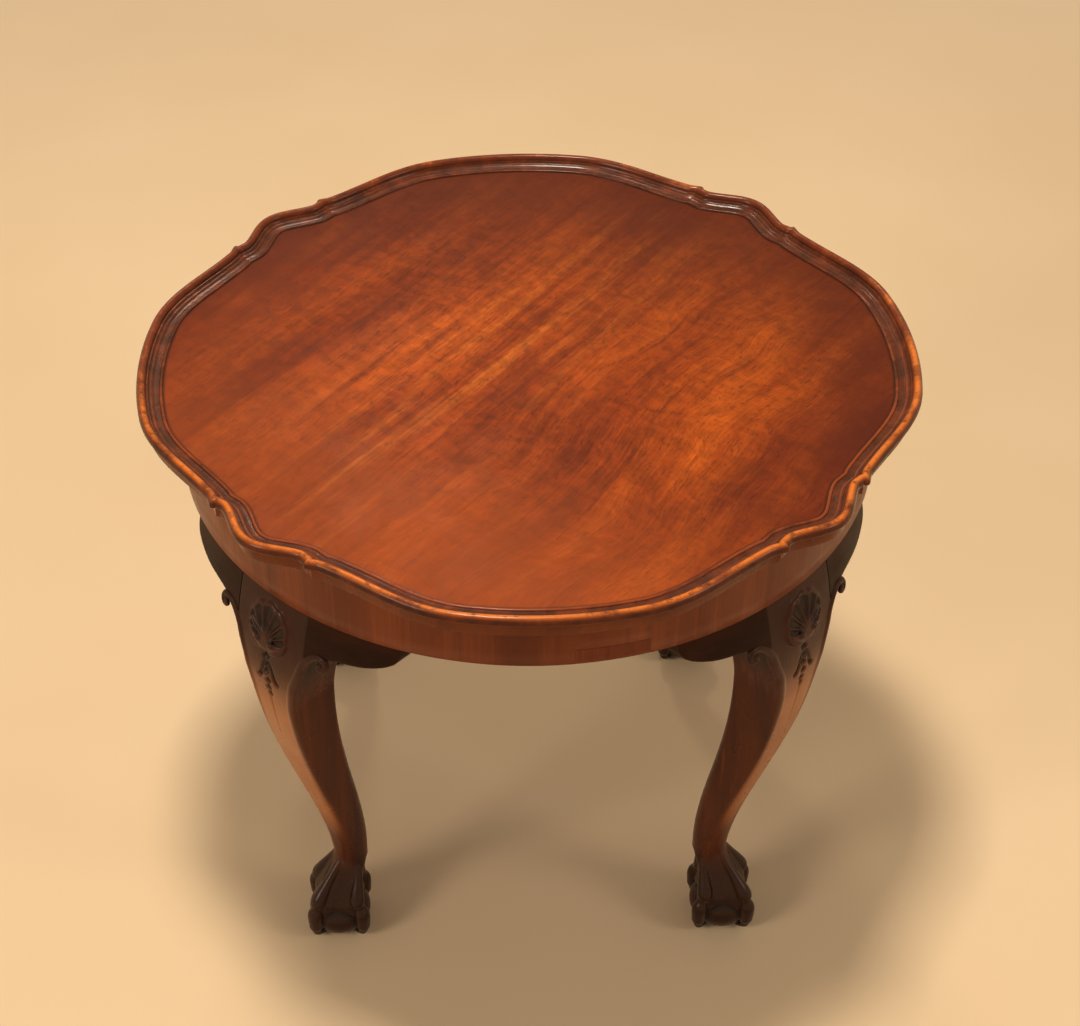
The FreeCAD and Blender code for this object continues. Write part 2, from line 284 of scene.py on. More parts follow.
# ---- Tray top -------------------------------------------------------------------------------
nose_rounding = 3.2            # radius of the rounded nose at each end of a long lobe
nose_run = 1.5                 # degrees over which the rim falls from a nose into the short lobe
long_stations = 125
short_stations = 46
fillet_inset = 11.6            # a thin fillet runs down the hollow inside the bead
fillet_width = 2.2
fillet_rise = 0.55
ray_length = 34.0              # how far from the rim the moulding's insets are searched
ray_samples = 170
beyond_stations = 12           # the outline runs on this far past the middle of the long lobe
bead_unevenness = 0.16         # hand carving: how much the bead's height wavers
edge_points = 4                # of the rim's section, round its lower edge
undercut_points = 8            # and up the hollow below the bead
under_rings = [0.03, 0.5, 0.85]    # rings of points below, as shares of the radius
field_rings = [24.0, 30.0, 40.0, 60.0, 95.0, 140.0, 190.0, 235.0, 270.0]    # insets of those above
far_inset = 200.0              # stored below, where no moulding reaches


def rim_radius(angle):
    """Radius of the rim at an angle between the middles of a long lobe and the next corner."""
    fall = hollow_depth * ease((angle - lobe_level_angle) / (hollow_angle - lobe_level_angle))
    nose = nose_rise * ease((angle - hollow_angle) / (cusp_angle - hollow_angle))
    long_lobe = lobe_crown_radius - fall + nose
    to_cusp = np.radians(np.maximum(cusp_angle - angle, 0.0)) * long_lobe
    into_nose = np.clip(nose_rounding - to_cusp, 0.0, nose_rounding)
    long_lobe -= nose_rounding - np.sqrt(nose_rounding ** 2 - into_nose ** 2)
    middle = lobe_crown_radius - corner_fall
    end = lobe_crown_radius - hollow_depth + nose_rise - nose_step
    short_lobe = middle - (middle - end) * ease((45.0 - angle) / corner_half_angle)
    short_lobe += (nose_step - nose_rounding) * (1.0 - ease((angle - cusp_angle) / nose_run))
    return np.where(angle <= cusp_angle, long_lobe, short_lobe)


def rim_stations():
    """Angles from the middle of a long lobe to the middle of a corner, closer together at the nose."""
    along = np.linspace(0.0, 1.0, long_stations)
    long_part = cusp_angle * (1.0 - (1.0 - along) ** 1.7)
    along = np.linspace(0.0, 1.0, short_stations)[1:]
    short_part = cusp_angle + corner_half_angle * along ** 1.5
    return np.concatenate([long_part, [cusp_angle + 1e-4], short_part])


def flat_points(angles, radii):
    turn = np.radians(angles)
    return np.stack([radii * np.cos(turn), radii * np.sin(turn)], -1)


def distances_to_line(points, line):
    """Distance of each point to the nearest stretch of a line."""
    nearest = np.full(len(points), 1e9)
    for start, end in zip(line, line[1:]):
        run = end - start
        length = max(run @ run, 1e-12)
        share = np.clip(((points - start) @ run) / length, 0.0, 1.0)
        gap = points - start - share[:, None] * run
        nearest = np.minimum(nearest, np.hypot(gap[:, 0], gap[:, 1]))
    return nearest


def rays_to_insets(angles, insets):
    """How far along each radius the moulding's insets lie, so that its mitres form by themselves."""
    outline_angles = np.concatenate([-angles[beyond_stations::-1], angles[1:]])
    outline = flat_points(outline_angles, rim_radius(np.abs(outline_angles)))
    beyond = 90.0 - angles[-2::-1]
    mirrored = flat_points(beyond, rim_radius(90.0 - beyond))
    outline = np.vstack([outline, mirrored[:short_stations]])
    along = np.linspace(0.0, ray_length, ray_samples)
    rows = []
    for angle in angles:
        radius = float(rim_radius(np.array(angle)))
        ray = flat_points(np.full(ray_samples, angle), radius - along)
        distance = distances_to_line(ray, outline)
        distance = np.maximum.accumulate(distance) + 1e-6 * along
        rows.append(np.interp(insets, distance, along))
    return np.array(rows)


def arc(start, end, steps):
    return np.radians(np.linspace(start, end, steps))


def rim_section():
    """Section of the rim from the underside over the bead inwards: insets and heights."""
    bead_line = board_thickness - bead_rise
    cove_end = bead_width + quirk + inner_cove_width
    turn = arc(0, 90, edge_points)
    insets = [edge_band_inset + edge_rounding * (1.0 - np.sin(turn))]
    heights = [edge_rounding * (1.0 - np.cos(turn))]
    turn = arc(270, 190, undercut_points)
    insets.append(edge_band_inset * (1.0 + np.cos(turn)))
    heights.append(bead_line + bead_undercut * np.sin(turn))
    turn = arc(180, 12, 19)
    insets.append(bead_width / 2.0 * (1.0 + np.cos(turn)))
    heights.append(bead_line + bead_rise * np.sin(turn))
    turn = np.arccos(-np.linspace(1.0, 0.03, 15))
    hollow = cove_end + inner_cove_width * np.cos(turn)
    insets.append(hollow)
    floor_height = field_thickness + inner_cove_floor + inner_cove_drop * (1.0 - np.sin(turn))
    heights.append(floor_height + fillet_rise * bump((hollow - fillet_inset) * 2.0 / fillet_width))
    turn = arc(165, 0, 8)
    insets.append(cove_end + astragal_width / 2.0 * (1.0 + np.cos(turn)))
    heights.append(field_thickness + astragal_rise * np.sin(turn))
    return np.concatenate(insets), np.concatenate(heights)


def tray_top():
    """The board with its carved rim, as one closed skin."""
    insets, heights = rim_section()
    half = rim_stations()
    along = rays_to_insets(half, insets)
    angles = np.concatenate([-half[::-1], half[1:-1]])
    half_radii = rim_radius(half)[:, None] - along
    quarter = np.vstack([half_radii[::-1], half_radii[1:-1]])
    radii = np.vstack([quarter] * 4)
    angles = np.concatenate([angles + 90.0 * k for k in range(4)]) + top_turn
    bead = np.clip(np.sin(np.pi * np.clip(insets / bead_width, 0.0, 1.0)), 0.0, 1.0)
    bead *= heights > board_thickness - bead_rise
    uneven = bead_unevenness * (1.0 - np.maximum(waver(angles, 3, 9, 90.0), -1.0)) / 2.0
    levels = board_bottom + heights[None, :] - uneven[:, None] * bead[None, :] ** 2
    turn = np.radians(angles)[:, None]

    def ring(reach, height):
        return np.stack([reach * np.cos(turn), reach * np.sin(turn), height + 0.0 * reach], -1)

    loops = [ring(radii[:, :1] * share, board_bottom) for share in under_rings]
    loops.append(ring(radii, levels))
    for inset in field_rings:
        share = 1.0 - (inset - moulding_width) / (lobe_crown_radius - moulding_width)
        loops.append(ring(radii[:, -1:] * share, board_bottom + field_thickness))
    loops = np.concatenate(loops, 1).transpose(1, 0, 2)
    made = make_object("mahogany_tray_top", lofted(loops), 50.0)
    everywhere = np.concatenate([[far_inset] * len(under_rings), insets, field_rings])
    below = np.zeros(len(everywhere))
    below[:len(under_rings) + edge_points + undercut_points] = 1.0
    ends = [far_inset, lobe_crown_radius]
    point_values(made.data, "inset", np.concatenate([np.repeat(everywhere, len(angles)), ends]))
    point_values(made.data, "below", np.concatenate([np.repeat(below, len(angles)), [1.0, 0.0]]))
    return made


# ---- Frieze ---------------------------------------------------------------------------------
veneer_gap = 0.012             # degrees between two sheets
veneer_wave = 0.12             # the old veneer isn't quite even
veneer_edge = 0.35             # eased lower edge of a sheet
patch_stand = 0.12             # the patch lies a touch below the sheet round it
sheet_stations = 121
patch_stations = 19


def curved_sheet(name, stations, inner, outer):
    """A sheet wrapped round the frieze. Each station is an angle, a lower and an upper height."""
    loops = []
    for angle, low, high in stations:
        turn = math.radians(angle)
        face = outer - veneer_wave * (0.5 + 0.5 * waver(np.array(angle), 5, 7, 60.0))
        section = [(inner, low), (face - veneer_edge, low), (face, low + veneer_edge)]
        for share in (0.25, 0.5, 0.75):
            section.append((face, low + (high - low) * share))
        section += [(face, high), (inner, high)]
        loops.append([(r * math.cos(turn), r * math.sin(turn), z) for r, z in section])
    return make_object(name, lofted(loops), 50.0)


def frieze_sheet(middle, with_patch):
    """One quarter of the veneer; the front sheet is notched for the patch."""
    start = middle - 45.0 + veneer_gap
    end = middle + 45.0 - veneer_gap
    angles = np.linspace(start, end, sheet_stations)
    stations = [(angle, shoulder, board_bottom) for angle in angles]
    if with_patch:
        top = shoulder + patch_height
        stations = [s for s in stations if s[0] < patch_from_angle]
        stations += [(patch_from_angle - veneer_gap, shoulder, board_bottom)]
        over = np.linspace(patch_from_angle, patch_to_angle, patch_stations)
        stations += [(a, top, board_bottom) for a in over]
        stations += [(patch_to_angle + veneer_gap, shoulder, board_bottom)]
        stations += [(a, shoulder, board_bottom) for a in angles if a > patch_to_angle]
    return stations


# ---- Legs, drawn on +X ----------------------------------------------------------------------
body_step = 1.0                # between the leg's stations
roll_low = 158.0               # where the roll down the arris runs out
roll_high = 352.0              # where the scroll takes over from it
roll_radius = 4.4              # at its upper end
roll_low_radius = 1.6
roll_stand = 1.2               # how far the roll's crest stands out of the arris
scroll_eye = 1.9               # radius of the scroll at its eye
scroll_stand = 2.6
scroll_line = [(52.6, 386.6), (51.2, 384.6), (53.0, 382.6), (56.2, 383.6), (57.4, 387.4),
               (55.0, 391.0), (50.0, 391.8), (44.6, 389.0), (38.8, 383.0), (34.4, 375.6),
               (31.6, 367.0)]  # from the eye outwards: distance from the leg's middle, and height
husk_drops = [(-1.0, 366.5, 5.2, 5.0), (0.6, 358.6, 5.6, 5.8), (-1.2, 351.2, 4.8, 4.8),
              (0.2, 342.2, 5.2, 4.8), (-0.5, 334.0, 4.8, 4.6), (0.3, 327.4, 4.2, 3.6)]
husk_leaf = [(3.0, 361.0), (5.0, 355.0), (6.4, 349.5), (8.2, 345.0), (9.8, 342.6)]
husk_depth = 2.4
leaf_size = (1.4, 3.6)         # half width of the leaf at its stem and at its end
groove_low = 272.0             # the long groove below the husks runs out here
husks_half_width = 15.5        # no cut is darkened further than this from the leg's middle
face_points = 64               # of a section, across the leg's face
corner_points = 7              # and round each of its corners
overlap = 6.0                  # of the leg with the foot below the ankle
post_sink = 4.0                # of the post below the shoulder
voxel = 0.65                   # size of the grid that joins the leg's shapes into one skin
thinned = 0.39                 # share of the skin's triangles that is kept

# where each of the leg's stored values changes: the height where it begins, and how far it takes
carving_from = (285.0, 10.0)
shaded_side_from = (335.0, 30.0)
lit_from = (105.0, 60.0)
lit_until = (300.0, 68.0)
foot_until = (62.0, 32.0)


def leg_section(height):
    """Front, back, width and corner radius of the leg at heights."""
    height = np.asarray(height, float)
    rise = np.maximum((height - ankle_height) / (knee_height - ankle_height), 0.0)
    middle_high = knee_front - knee_depth / 2.0
    middle = ankle_axis_radius + (middle_high - ankle_axis_radius) * ease(rise ** shank_curve)
    depth = ankle_thickness + (knee_depth - ankle_thickness) * rise ** shank_taper
    above = np.clip((height - knee_height) / knee_bulge_drop, 0.0, 1.0) ** knee_round
    upper = height > knee_height
    front = np.where(upper, knee_front + (knee_top_radius - knee_front) * above, middle + depth / 2.0)
    back = np.where(upper, knee_back - back_rise * above, middle - depth / 2.0)
    slender = np.maximum((height - ankle_height) / (neck_height - ankle_height), 0.0)
    slender = np.minimum(slender, 1.0)
    width = ankle_thickness + (knee_neck_width - ankle_thickness) * slender ** shank_taper
    widening = (height - neck_height) / (knee_neck_drop - ear_root_drop)
    widening = np.clip(widening, 0.0, 1.0) ** knee_flare
    width = width + (knee_stock_width + 2.0 * joint_trim - knee_neck_width) * widening
    ankle_corner = (ankle_thickness - ankle_flat) / 2.0
    corner = ankle_corner + (knee_corner - ankle_corner) * slender
    return front, back, width, corner


def knee_point(side, height, lift=0.0):
    """A point on the face of knee and ears, at a distance sideways from the leg's middle."""
    front = leg_section(height)[0] + lift
    return np.stack([np.sqrt(np.maximum(front ** 2 - side ** 2, 0.0)), side + 0.0 * height,
                     height + 0.0 * side], -1)


def teardrop(side, height, at, length, width):
    """1 inside a carved drop whose round end is low, 0 outside, smooth at its edge."""
    v = (height - at[1]) / length
    u = (side - at[0]) / (width * np.clip(0.95 - 0.55 * v, 0.15, 1.0))
    return bump(np.clip(np.hypot(u, v), 0.0, 1.0))


def face_relief(side, height):
    """Carving cut into the front of the knee: husks, leaves and the long groove below them."""
    away = np.abs(side)
    cut = 0.0
    for place, middle, length, width in husk_drops:
        cut = np.maximum(cut, teardrop(side, height, (place, middle), length, width))
    leaf = spline(husk_leaf, 4)
    for at, size in zip(leaf, np.linspace(leaf_size[0], leaf_size[1], len(leaf))):
        cut = np.maximum(cut, 0.9 * bump(np.hypot(away - at[0], height - at[1]) / size))
    groove_top = husk_drops[-1][1] - 3.0
    share = np.clip((groove_top - height) / (groove_top - groove_low), 0.0, 1.0)
    groove = np.clip(1.0 - away / (1.9 - share), 0.0, 1.0) * (1.0 - share) ** 0.5
    groove *= (height < groove_top) * (height > groove_low)
    return -husk_depth * np.minimum(1.5 * cut, 1.0) - 1.1 * groove


def leg_body():
    """Knee and shank as loops of points with the carving of the knee cut in."""
    heights = np.arange(ankle_height - overlap, shoulder + 0.01, body_step)
    heights[-1] = shoulder
    loops = []
    for height in heights:
        front, back, width, corner = [float(v) for v in leg_section(max(height, ankle_height))]
        half = width / 2.0
        low = half - corner
        face = math.sqrt(front ** 2 - low ** 2)
        side = np.linspace(-low, low, face_points)
        relief = face_relief(side, np.full_like(side, height))
        x = np.sqrt((front + relief) ** 2 - side ** 2)
        points = list(zip(x, side))
        for centre_x, centre_y, start in ((face - corner, low, 0.0), (back + corner, low, 90.0),
                                          (back + corner, -low, 180.0), (face - corner, -low, 270.0)):
            for turn in arc(start + 9.0, start + 81.0, corner_points):
                points.append((centre_x + corner * math.cos(turn), centre_y + corner * math.sin(turn)))
        limit = knee_stock_width / 2.0
        loops.append([(px, min(max(py, -limit), limit), height) for px, py in points])
    return lofted(loops)


def swept(path, normals, widths, heights, sink=2.5, points_round=16):
    """A half-round strip laid on a surface along a path, its foot sunk into the surface."""
    path = np.asarray(path, float)
    across = unit(np.cross(normals, heading(path)))
    loops = []
    turns = np.linspace(0.0, 2.0 * np.pi, points_round, endpoint=False)
    for place, normal, side, width, height in zip(path, normals, across, widths, heights):
        loop = []
        for turn in turns:
            out = math.sin(turn)
            lift = height * out ** 0.7 if out > 0 else sink * out
            reach = width / 2.0 * math.cos(turn)
            hollow = 0.3 * height * max(out, 0.0) ** 3
            loop.append(place + side * reach + normal * (lift - hollow))
        loops.append(loop)
    return lofted(loops)


def surface_normals(sides, heights):
    """Outward directions of the face of knee and ears."""
    step = 0.5
    up = knee_point(sides, heights + step) - knee_point(sides, heights - step)
    right = knee_point(sides + step, heights) - knee_point(sides - step, heights)
    return unit(np.cross(right, up))


def roll(path, outwards, radii, points_round=18):
    """A round moulding along a path, kept from twisting by directions that point outwards."""
    run = heading(path)
    across = unit(np.cross(outwards, run))
    out = np.cross(run, across)
    turns = np.linspace(0.0, 2.0 * np.pi, points_round, endpoint=False)
    loops = [centre + radius * (np.outer(np.cos(turns), a) + np.outer(np.sin(turns), b))
             for centre, radius, a, b in zip(path, radii, across, out)]
    ends = [round_body(path[0], radii[0] * 0.98), round_body(path[-1], radii[-1] * 0.98)]
    return joined([lofted(loops)] + ends)


def arris(heights):
    """The leg's front corner at heights, and the direction that points out of it."""
    front, _, width, corner = leg_section(heights)
    low = width / 2.0 - corner
    face = np.sqrt(front ** 2 - low ** 2)
    out = np.array([math.sqrt(0.5), math.sqrt(0.5), 0.0])
    centre = np.stack([face - corner, low, heights], -1)
    return centre + corner[:, None] * out, np.tile(out, (len(heights), 1))


def scroll(hand):
    """The C-scroll of one side: from its eye on the ear, round and down the arris as a roll."""
    heights = np.linspace(roll_high, roll_low, 26)
    share = np.linspace(1.0, 0.0, len(heights))
    radii = roll_low_radius + (roll_radius - roll_low_radius) * share ** 0.8
    corner, outwards = arris(heights)
    stand = roll_stand * share ** 0.5 - 0.3
    shank = corner - outwards * (radii - stand)[:, None]
    line = np.array(scroll_line)
    normals = surface_normals(line[:, 0], line[:, 1])
    share = np.linspace(0.0, 1.0, len(line))
    curl_radii = scroll_eye + (roll_radius - scroll_eye) * share ** 1.2
    stand = scroll_stand + (roll_stand - scroll_stand) * share
    curl = knee_point(line[:, 0], line[:, 1]) - normals * (curl_radii - stand)[:, None]
    controls = np.column_stack([np.vstack([curl, shank]), np.concatenate([curl_radii, radii]),
                                np.vstack([normals, outwards])])
    fine = spline(controls, 6)
    path, outwards = fine[:, :3].copy(), fine[:, 4:].copy()
    path[:, 1] *= hand
    outwards[:, 1] *= hand
    return roll(path, outwards, fine[:, 3])


flute_count = 7
flute_fan = 86.0               # degrees each side of upright that the flutes spread
focus_share = 0.26             # how far below its middle they meet, as a share of the height
shell_lift = 4.4
shell_sink = 7.0               # how far its foot lies behind its edge
flute_depth = 2.9
shell_turns = 180
shell_rings = 46


def shell_edge(bearing):
    """How far the shell's lobed edge is from the point where the flutes meet, in a direction."""
    half_width, half_height = shell_width / 2.0 - 0.5, shell_height / 2.0 - 0.5
    rise = shell_height * focus_share
    a = (np.sin(bearing) / half_width) ** 2 + (np.cos(bearing) / half_height) ** 2
    b = -2.0 * np.cos(bearing) * rise / half_height ** 2
    c = (rise / half_height) ** 2 - 1.0
    oval = (-b + np.sqrt(b * b - 4.0 * a * c)) / (2.0 * a)
    return oval * (1.0 + 0.05 * in_fan(bearing) * (np.sin(np.pi * flute_place(bearing)) - 0.7))


def in_fan(bearing):
    return np.abs(bearing) < math.radians(flute_fan)


def flute_place(bearing):
    """Where a direction lies across its flute, 0 to 1 from rib to rib."""
    return (bearing / math.radians(flute_fan) + 1.0) / 2.0 * flute_count % 1.0


def flute(bearing, share):
    """How deep in a flute a place is, 0 on the ribs, the heart and the edge."""
    along = ease((share - 0.12) / 0.3) * (1.0 - ease((share - 0.82) / 0.12))
    across = np.minimum(1.5 * (1.0 - np.abs(2.0 * flute_place(bearing) - 1.0) ** 1.6), 1.0)
    return along * across * in_fan(bearing)


def shell():
    """The fluted shell: flutes fan out from a point low on the oval, with a lobed edge."""
    focus = shoulder - shell_middle_drop - shell_height * focus_share
    bearing = np.linspace(-np.pi, np.pi, shell_turns, endpoint=False)
    edge = shell_edge(bearing)
    loops = []
    for share in np.linspace(0.002, 1.0, shell_rings):
        dome = np.sqrt(np.maximum(1.0 - share ** 6, 0.0))
        lift = shell_lift * dome - flute_depth * flute(bearing, share)
        y = np.sin(bearing) * edge * share
        z = focus + np.cos(bearing) * edge * share
        loops.append(knee_point(y, z, lift))
    loops.append(loops[-1] - np.array([shell_sink, 0.0, 0.0]))
    return lofted(loops)


def shell_base(hand):
    """One curled leaf and one boss at the foot of the shell."""
    middle = shoulder - shell_middle_drop
    base = middle - shell_height / 2.0 + 2.0
    curl = spline([(19.5, base + 13.0), (17.5, base + 6.5), (13.0, base + 1.4), (7.5, base - 0.8),
                   (2.8, base + 0.6), (1.5, base + 4.0)], 8)
    sides, heights = curl[:, 0], curl[:, 1]
    path = knee_point(sides, heights)
    normals = surface_normals(sides, heights)
    share = np.linspace(0.0, 1.0, len(path))
    path[:, 1] *= hand
    normals[:, 1] *= hand
    full = np.sin(np.pi * share)
    leaf = swept(path, normals, 1.8 + 3.0 * full ** 0.7, 2.2 + 2.8 * full)
    boss_at = knee_point(np.array(7.4 * hand), np.array(base + 7.0), 2.6)
    return joined([leaf, round_body(boss_at, 3.8)])


def round_body(centre, radius):
    """A ball as a closed skin."""
    loops = []
    for tilt in np.linspace(-80.0, 80.0, 11):
        turn = math.radians(tilt)
        circle = [(centre[0] + radius * math.cos(turn) * math.cos(t),
                   centre[1] + radius * math.cos(turn) * math.sin(t),
                   centre[2] + radius * math.sin(turn)) for t in arc(0, 345, 24)]
        loops.append(circle)
    return lofted(loops)


def post():
    """The part of the leg inside the frieze; its back is set in from the heads of the screws."""
    screw_stand = 0.4
    back = core_inner_radius - post_depth + screw_stand
    sides = np.linspace(-post_width / 2.0, post_width / 2.0, 9)
    loops = []
    for height in np.linspace(shoulder - post_sink, board_bottom - post_headroom, 8):
        front = [(math.sqrt(core_inner_radius ** 2 - s * s), s, height) for s in sides]
        loops.append(front + [(back, s, height) for s in sides[::-1]])
    return lofted(loops)


# ---- Foot -----------------------------------------------------------------------------------
web_stand = 0.8                # the web reaches this far beyond the solid foot at the toes
web_arch = 10.0                # how much higher its edge is between the toes
web_hollow = 6.6               # how deep it sinks between the toes
web_stations = 30


def ball():
    """The ball, standing on its flat."""
    loops = []
    low = math.degrees(math.acos(ball_flat_radius / ball_radius))
    fall = ball_belly_height / math.sin(math.radians(low))
    for tilt in np.linspace(-low, 84.0, 24):
        turn = math.radians(tilt)
        rise = fall if tilt < 0 else ball_height - ball_belly_height
        height = ball_belly_height + rise * math.sin(turn)
        radius = ball_radius * math.cos(turn)
        loops.append([(foot_axis_radius + radius * math.cos(t), radius * math.sin(t), height)
                      for t in arc(0, 352.5, 48)])
    return lofted(loops)


def web():
    """The skin of the foot from the ankle down over the ball, scalloped between the toes."""
    loops = []
    for station in range(web_stations + 1):
        share = station / web_stations
        loop = []
        for turn in arc(0, 355, 72):
            between = (1.0 - math.cos(4.0 * turn)) / 2.0
            bottom = paw_bottom + web_arch * between
            height = ankle_height + (bottom - ankle_height) * share
            forward = float(ease((ankle_height - height) / (ankle_height - paw_forward_height)))
            full = float(ease((ankle_height - height) / (ankle_height - paw_full_height)))
            middle = ankle_axis_radius + (foot_axis_radius - ankle_axis_radius) * forward
            radius = ankle_thickness / 2.0 + (paw_radius + web_stand - ankle_thickness / 2.0) * full
            radius -= web_hollow * between ** 0.8 * float(ease(share / 0.8))
            loop.append((middle + radius * math.cos(turn), radius * math.sin(turn), height))
        loops.append(loop)
    return lofted(loops)


def limb(places, radii):
    """A round limb of changing thickness along a smooth line, with rounded ends."""
    line = spline(np.column_stack([places, radii]), 10)
    path = line[:, :3]
    outwards = np.cross([0.0, 0.0, 1.0], heading(path)[len(path) // 2])
    return roll(path, outwards, line[:, 3], 20)


def toe(direction):
    """One toe with its tendon and knuckles, and its claw."""
    outwards = np.array([math.cos(math.radians(direction)), math.sin(math.radians(direction)), 0.0])
    foot = np.array([foot_axis_radius, 0.0, 0.0])
    up = np.array([0.0, 0.0, 1.0])
    ankle = np.array([ankle_axis_radius, 0.0, ankle_height - tendon_drop])

    def at(reach, height):
        return foot + outwards * reach + up * height

    start = ankle + outwards * 7.0 + up * 6.0
    knuckle = at(knuckle_reach, knuckle_height)
    joint = at(toe_reach, toe_height)
    root = at(claw_root_reach, claw_root_height + 1.5)
    halfway = (start + knuckle) / 2.0 + outwards * 1.5
    mid_bone = (knuckle + joint) / 2.0 + outwards * 0.2
    flesh = limb([start, halfway, knuckle, mid_bone, joint, root],
                 [4.4, 4.2, knuckle_radius - 1.2, 5.0, toe_radius - 0.6, claw_root_radius - 0.3])
    nail = limb([root - up * 0.5, at(claw_root_reach - 0.6, 10.0), at(claw_reach + 4.5, 5.0),
                 at(claw_reach, claw_radius - 1.6)],
                [claw_root_radius - 2.3, claw_root_radius - 2.5, 3.3, 2.1])
    return joined([flesh, nail])


def leg_shape():
    """Everything that is carved from one leg blank."""
    shapes = [leg_body(), shell(), post(), ball(), web()]
    for hand in (-1, 1):
        shapes += [scroll(hand), shell_base(hand)]
    for direction in (0.0, 90.0, 180.0, 270.0):
        shapes.append(toe(direction))
    return joined(shapes)


def leg_mesh():
    """The leg as one skin, with values for its material to tint places by and to paint light and shade
    with.
    """
    made = make_object("leg_blank", leg_shape())
    remesh = made.modifiers.new("one_skin", "REMESH")
    remesh.mode = "VOXEL"
    remesh.voxel_size = voxel * MM
    remesh.use_smooth_shade = True
    ease_out = made.modifiers.new("ease_out", "SMOOTH")
    ease_out.factor = 0.5
    ease_out.iterations = 2
    thin = made.modifiers.new("thin", "DECIMATE")
    thin.ratio = thinned
    apply_modifiers(made)
    mesh = made.data
    places = np.zeros(len(mesh.vertices) * 3)
    mesh.vertices.foreach_get("co", places)
    places = places.reshape(-1, 3) / MM
    places[:, 2] = np.clip(places[:, 2], 0.0, None)
    mesh.vertices.foreach_set("co", (places * MM).ravel())
    x, y, z = places.T
    face = np.hypot(x, y)
    front, back, width, _ = leg_section(np.clip(z, ankle_height, shoulder))
    depth = front - face
    middle = shoulder - shell_middle_drop

    # "cut": down in the husks, leaves and groove below the shell
    under_shell = z < middle - shell_height / 2.0 - 1.5
    on_knee = rising(z, *carving_from) * (depth < 6.0)
    cut = np.clip((depth - 0.5) / 1.1, 0.0, 1.0) * on_knee
    point_values(mesh, "cut", cut * (np.abs(y) < husks_half_width) * under_shell)

    # "shell": inside the shell's oval, and "flute": down in its flutes
    oval = np.hypot(y / (shell_width / 2.0 + 1.0), (z - middle) / (shell_height / 2.0 + 1.5))
    in_shell = (1.0 - rising(oval, 0.95, 0.1)) * (depth < 4.0)
    point_values(mesh, "shell", in_shell)
    focus = middle - shell_height * focus_share
    bearing = np.arctan2(y, z - focus)
    share = np.hypot(y, z - focus) / shell_edge(bearing)
    point_values(mesh, "flute", flute(bearing, share) * in_shell)

    # "side": painted shade beside the face, up under the frieze, and "front": painted light on the
    # shank's front
    side = rising(front - face, 3.0, 4.0) * rising(z, *shaded_side_from) * (z < shoulder)
    point_values(mesh, "side", side)
    # painted light: the shank's front is made lighter, standing in for light and floor reflection
    lit = rising(face, (front + back) / 2.0, 12.0)
    lit *= 1.0 - 0.96 * rising(np.abs(y), width / 2.0 - 6.5, 5.5)
    point_values(mesh, "front", lit * rising(z, *lit_from) * (1.0 - rising(z, *lit_until)))
    point_values(mesh, "foot", 1.0 - rising(z, *foot_until))

    # "gap": painted shadow on the ball just under the web's edge and beside the toes
    out = np.hypot(x - foot_axis_radius, y)
    over_belly = np.clip((z - ball_belly_height) / (ball_height - ball_belly_height), 0.0, 1.0)
    between_toes = (1.0 - np.cos(4.0 * np.arctan2(y, x - foot_axis_radius))) / 2.0
    by_web = rising(z, paw_bottom + web_arch * between_toes - 6.0, 3.5)
    by_toe = 1.0 - rising(between_toes, 0.2, 0.22)
    on_ball = (out < ball_radius * np.sqrt(1.0 - over_belly ** 2) + 1.1) * (z < ball_height)
    point_values(mesh, "gap", np.maximum(by_web, by_toe) * on_ball)
    bpy.data.objects.remove(made)
    return mesh


# ---- Ears, drawn on +X ----------------------------------------------------------------------
ear_tip_edge = 0.3             # height of the ear at its very tip
ear_rounding = 1.2             # of its lower edge
ear_face_points = 14


def ear(hand):
    """One ear: its face follows the knee, its lower edge is a drawn curve with eased corners."""
    knee_side = knee_stock_width / 2.0
    edge = spline([(knee_side, ear_root_drop), (ear_neck_at, ear_neck_drop),
                   (ear_belly_at, ear_belly_drop), (ear_reach - ear_tip_inset, ear_tip_drop),
                   (ear_reach, ear_tip_edge)], 16)
    loops = []
    for side, drop in edge:
        low = shoulder - max(drop, ear_tip_edge)
        eased = min(ear_rounding, drop / 3.0)
        heights = np.linspace(shoulder, low + eased, ear_face_points)
        front = knee_point(np.full(ear_face_points, side), heights)
        inner = math.sqrt(core_inner_radius ** 2 - side ** 2)
        outer = front[-1][0]
        bottom = [(outer - 0.35 * ear_rounding, side, low + 0.3 * eased),
                  (outer - ear_rounding, side, low)]
        bottom += [(outer + (inner - outer) * share, side, low) for share in (0.3, 0.6, 0.9)]
        back = [(inner, side, low + (shoulder - low) * share) for share in (0.1, 0.5, 1.0)]
        top = [(inner + (front[0][0] - inner) * share, side, shoulder) for share in (0.33, 0.66)]
        loop = np.array([tuple(p) for p in front] + bottom + back + top)
        loop[:, 1] *= hand
        loops.append(loop)
    return lofted(loops)


# ---- Materials ------------------------------------------------------------------------------
def colour(red, green, blue):
    """A colour given as it shows on a screen, 0 to 255, as the linear value that shaders take."""
    linear = [(c / 255.0 / 12.92 if c <= 10 else ((c / 255.0 + 0.055) / 1.055) ** 2.4)
              for c in (red, green, blue)]
    return (*linear, 1.0)


